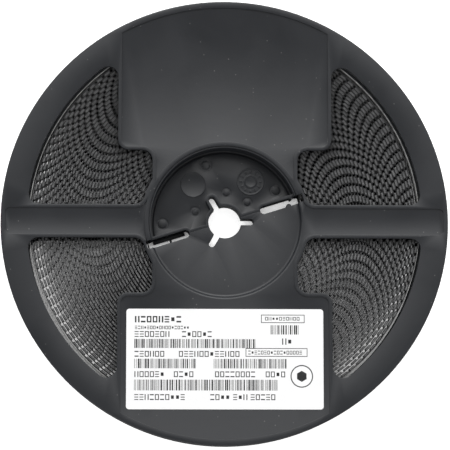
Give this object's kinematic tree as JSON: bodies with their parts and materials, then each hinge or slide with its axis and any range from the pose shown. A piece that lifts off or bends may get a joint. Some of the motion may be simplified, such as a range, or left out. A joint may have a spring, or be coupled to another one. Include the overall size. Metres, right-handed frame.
{
  "type": "smd tape reel",
  "caption": "Black plastic reel with windowed flanges and a slotted arbor hole, wound with embossed carrier tape and marked with a paper label.",
  "frame": {"origin": "centre of the arbor hole on the plane of the rear flange's outer face", "axes": "+Z along the arbor hole, out of the front flange; +Y from the label towards the bare panel; +X along a spoke"},
  "size_m": [0.18, 0.18, 0.0126],
  "materials": {
    "reel_plastic": "fine satin",
    "carrier_tape": "smooth",
    "tab_film": "smooth",
    "label_paper": "matt paper"
  },
  "bodies": {
    "root": {"front_half": "reel_plastic", "rear_half": "reel_plastic", "tape_roll": "carrier_tape", "end_tab": "tab_film", "label": "label_paper"}
  },
  "joints": []
}
